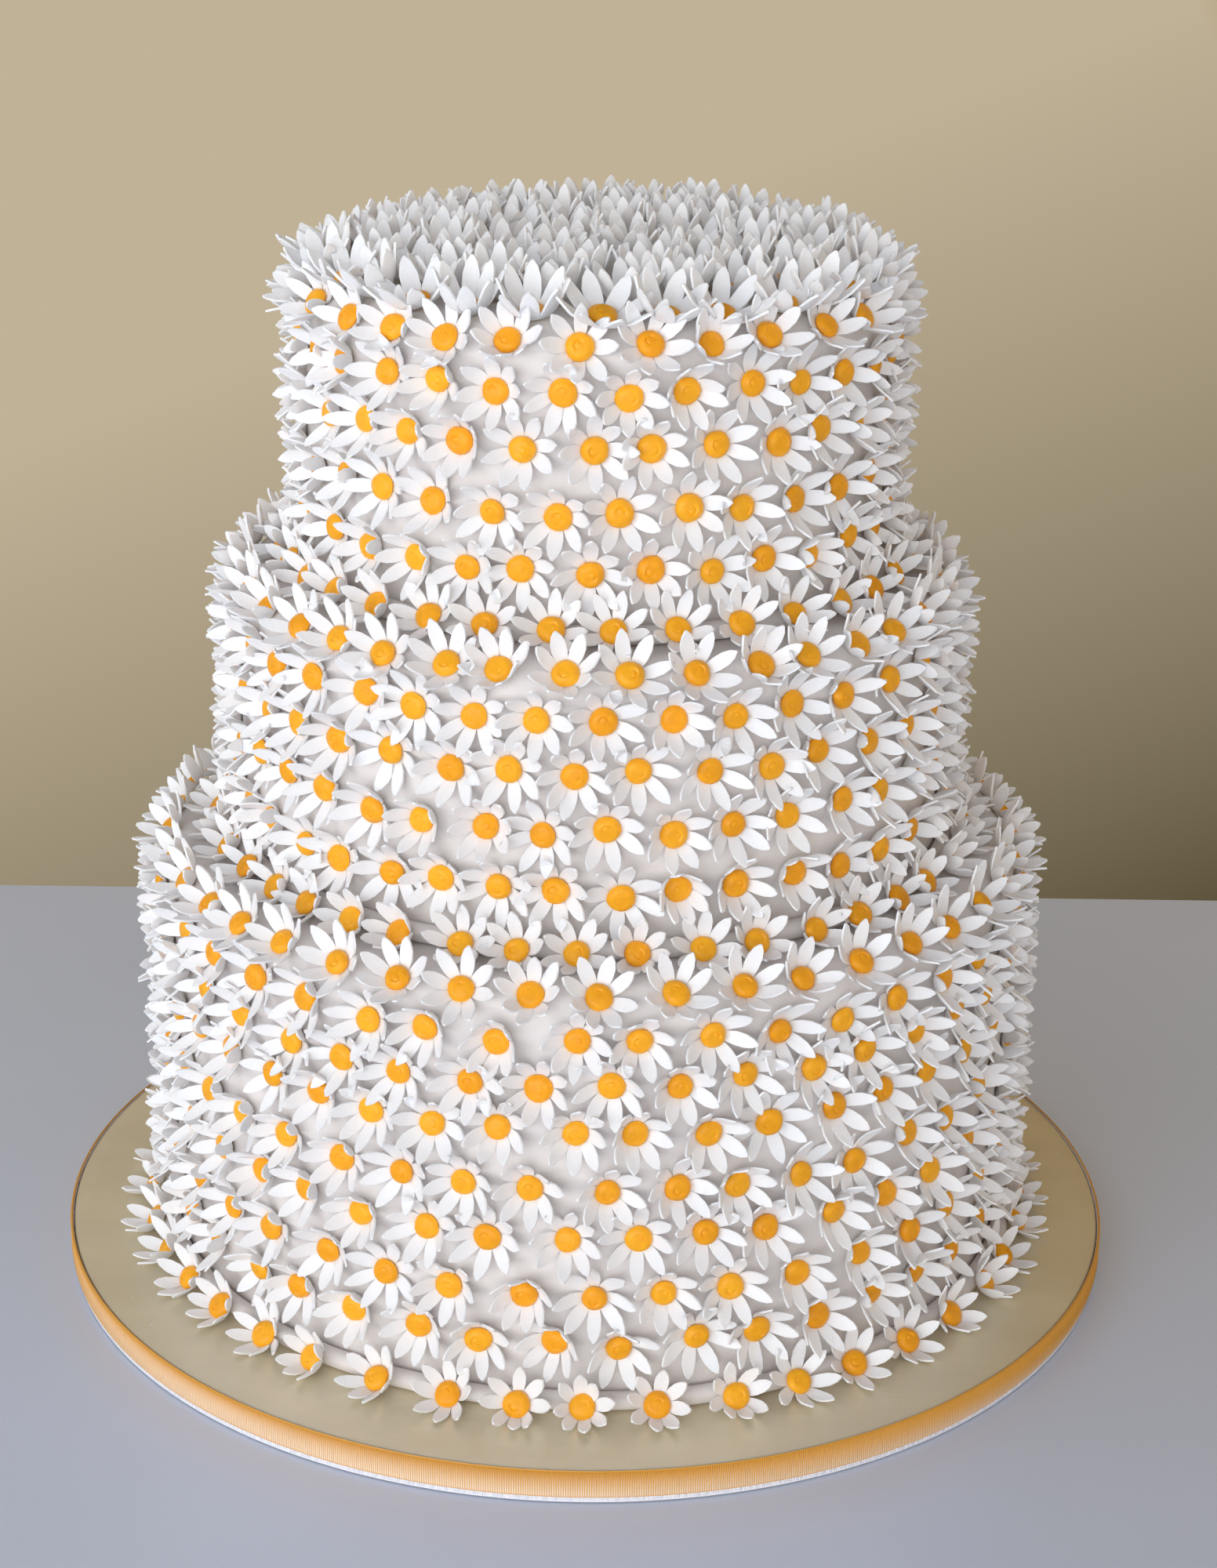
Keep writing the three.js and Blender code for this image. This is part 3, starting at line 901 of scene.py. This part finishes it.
# %% Board material
nodes, links, shader = new_material("board_paper", [board])
brushed = noise(nodes, links, 22, 5, (1, 1.8, 1))
streaks = between(nodes, links, brushed, (0.73, 0.655, 0.49), (0.79, 0.715, 0.54), 0.35, 0.65)
specks = between(nodes, links, noise(nodes, links, 420, 1), (0, 0, 0), (1, 1, 1), 0.78, 0.8)
dusted = nodes.new("ShaderNodeMix")
dusted.data_type = "RGBA"
links.new(specks, dusted.inputs["Factor"])
links.new(streaks, dusted.inputs["A"])
dusted.inputs["B"].default_value = (0.85, 0.83, 0.8, 1)
links.new(dusted.outputs["Result"], shader.inputs["Base Color"])
shader.inputs["Roughness"].default_value = 0.45
shader.inputs["Metallic"].default_value = 0.5
ripple = nodes.new("ShaderNodeBump")
ripple.inputs["Strength"].default_value = 0.12
ripple.inputs["Distance"].default_value = 0.4 * MM
links.new(noise(nodes, links, 180, 3, (1, 4, 1)), ripple.inputs["Height"])
links.new(ripple.outputs["Normal"], shader.inputs["Normal"])

# %% Ribbon materials
# Each ribbon's valley colour is painted light (a pale painted sheen on gold, painted shade on white); its
# crest colour is its own.
RIBBON_COLOURS = (
    ("gold_thread", gold_ribbon, (1.0, 0.87, 0.72), (0.69, 0.32, 0.035)),
    ("white_thread", white_ribbon, (0.8, 0.8, 0.86), (0.87, 0.87, 0.92)),
)
for name, band, painted_valley_light, crest in RIBBON_COLOURS:
    nodes, links, shader = new_material(name, [band])
    ribs = between(nodes, links, attribute(nodes, "crest"), painted_valley_light, crest)
    spun = noise(nodes, links, 2200, 1, (1, 1, 0.1))
    threads = between(nodes, links, spun, (0.93, 0.93, 0.93), (1, 1, 1), 0.3, 0.7)
    links.new(multiplied(nodes, links, ribs, threads), shader.inputs["Base Color"])
    shader.inputs["Roughness"].default_value = 0.5
    weave = nodes.new("ShaderNodeBump")
    weave.inputs["Strength"].default_value = 0.3
    weave.inputs["Distance"].default_value = 0.05 * MM
    links.new(noise(nodes, links, 3500, 1, (1, 1, 2)), weave.inputs["Height"])
    links.new(weave.outputs["Normal"], shader.inputs["Normal"])

# %% [markdown]
# ## Table and wall
# The table top is pale blue-grey and ends behind the cake. A plain tan wall stands far behind it. It glows
# with its own light instead of being lit, and painted shade is set into that glow: darker low down and on the
# right, and dimmer and warmer still beyond the picture on the right, where it would throw too much light on
# the board and table.
# Lengths of the stage are in metres.

# %% Table
TABLE_BACK = 0.33
TABLE_FRONT = 3.2
TABLE_WIDTH = 7.0
TABLE_THICKNESS = 0.04
table_middle = (0, (TABLE_BACK - TABLE_FRONT) / 2, -TABLE_THICKNESS / 2)
bpy.ops.mesh.primitive_cube_add(size=1, location=table_middle)
table = bpy.context.object
table.name = "table_top"
table.dimensions = (TABLE_WIDTH, TABLE_BACK + TABLE_FRONT, TABLE_THICKNESS)
settle(table)
apply_modifier(table, "BEVEL", width=4 * MM, segments=4)
soften(table, 40)
nodes, links, shader = new_material("table_paint", [table])
links.new(
    between(nodes, links, noise(nodes, links, 6, 2), (0.67, 0.745, 0.9), (0.7, 0.775, 0.93), 0.35, 0.65),
    shader.inputs["Base Color"],
)
shader.inputs["Roughness"].default_value = 0.35

# %% Wall
WALL_PLACE = (0, 2.6, 0.8)
DARKER_TOWARDS = (0.25, 0, -0.64)
UNLIT_TOWARDS = (1, 0, 0.5)
bpy.ops.mesh.primitive_plane_add(size=1, location=WALL_PLACE, rotation=(math.pi / 2, 0, 0))
wall = bpy.context.object
wall.name = "wall"
wall.dimensions = (12, 6, 0)
settle(wall)
nodes, links, shader = new_material("wall_painted_glow", [wall])
# The wall's glow is painted light: a tan glow with painted shade, darker low down and dimmer and warmer on
# the right.
fall = distance_towards(nodes, links, DARKER_TOWARDS)
painted_wall_glow = between(nodes, links, fall, (0.528, 0.443, 0.31), (0.095, 0.073, 0.034), 0.04, 0.86)
far_side = distance_towards(nodes, links, UNLIT_TOWARDS)
unlit = between(nodes, links, far_side, (1, 1, 1), (0.72, 0.53, 0.1), 0.82, 1.5)
links.new(multiplied(nodes, links, painted_wall_glow, unlit), shader.inputs["Emission Color"])
shader.inputs["Emission Strength"].default_value = 1
shader.inputs["Base Color"].default_value = (0, 0, 0, 1)
shader.inputs["Specular IOR Level"].default_value = 0

# %% [markdown]
# ## Light
# One large cool light, low at the left front, models the petals as a window does. A sun lamp would be
# simpler, but its shadows are hard where these are soft. The world is the room: dimmer overhead, and dimmer
# and warmer on the right, away from the window. The view transform is Standard, so that white sugar stays
# white.

# %% Room light
scene = bpy.context.scene
scene.world = bpy.data.worlds.new("soft_sky")
scene.world.use_nodes = True
nodes, links = scene.world.node_tree.nodes, scene.world.node_tree.links
direction = nodes.new("ShaderNodeSeparateXYZ")
links.new(nodes.new("ShaderNodeTexCoord").outputs["Generated"], direction.inputs["Vector"])
height_light = between(nodes, links, direction.outputs["Z"], (1.3, 1.28, 1.26), (0.2, 0.23, 0.29), 0.0, 0.9)
side_light = between(nodes, links, direction.outputs["X"], (1, 1, 1), (0.7, 0.58, 0.44), 0.1, 0.9)
room_light = multiplied(nodes, links, height_light, side_light)
links.new(room_light, nodes["Background"].inputs["Color"])

# %% Window light
WINDOW_PLACE = (-1.4, -3.12, 0.7)
WINDOW_AIM = (0, 0, 0.2)
window_data = bpy.data.lights.new("window", "AREA")
window_data.shape = "RECTANGLE"
window_data.size = 3.8
window_data.size_y = 2.4
window_data.energy = 95
window_data.color = (0.93, 0.965, 1.0)
window = bpy.data.objects.new("window", window_data)
window.location = WINDOW_PLACE
aim = Vector(WINDOW_AIM) - window.location
window.rotation_euler = aim.to_track_quat("-Z", "Y").to_euler()
window.visible_camera = False
scene.collection.objects.link(window)
scene.view_settings.view_transform = "Standard"

# %% [markdown]
# ## Camera
# The camera stands about a metre in front, a little above the cake, and looks down at it. Its lens, height
# and pitch were fitted to the rows of centres and the ring of the board. Depth of field stays off.

# %% Camera
CAMERA_PLACE = (0, -1.0498, 0.583)
CAMERA_TURNS = (20.84, 0.35, 0.88)
camera_data = bpy.data.cameras.new("camera")
camera_data.lens = 67.7
camera_data.sensor_width = 36
camera_data.clip_start = 0.05
camera_data.clip_end = 20
camera = bpy.data.objects.new("camera", camera_data)
pitch, yaw, roll = (math.radians(v) for v in CAMERA_TURNS)
forward = Vector((math.sin(yaw) * math.cos(pitch), math.cos(yaw) * math.cos(pitch), -math.sin(pitch)))
level_right = forward.cross(Vector((0, 0, 1))).normalized()
level_up = level_right.cross(forward)
right = level_right * math.cos(roll) + level_up * math.sin(roll)
up = level_up * math.cos(roll) - level_right * math.sin(roll)
turn = Matrix((right, up, -forward)).transposed().to_4x4()
camera.matrix_world = Matrix.Translation(CAMERA_PLACE) @ turn
scene.collection.objects.link(camera)
scene.camera = camera

bpy.context.view_layer.update()
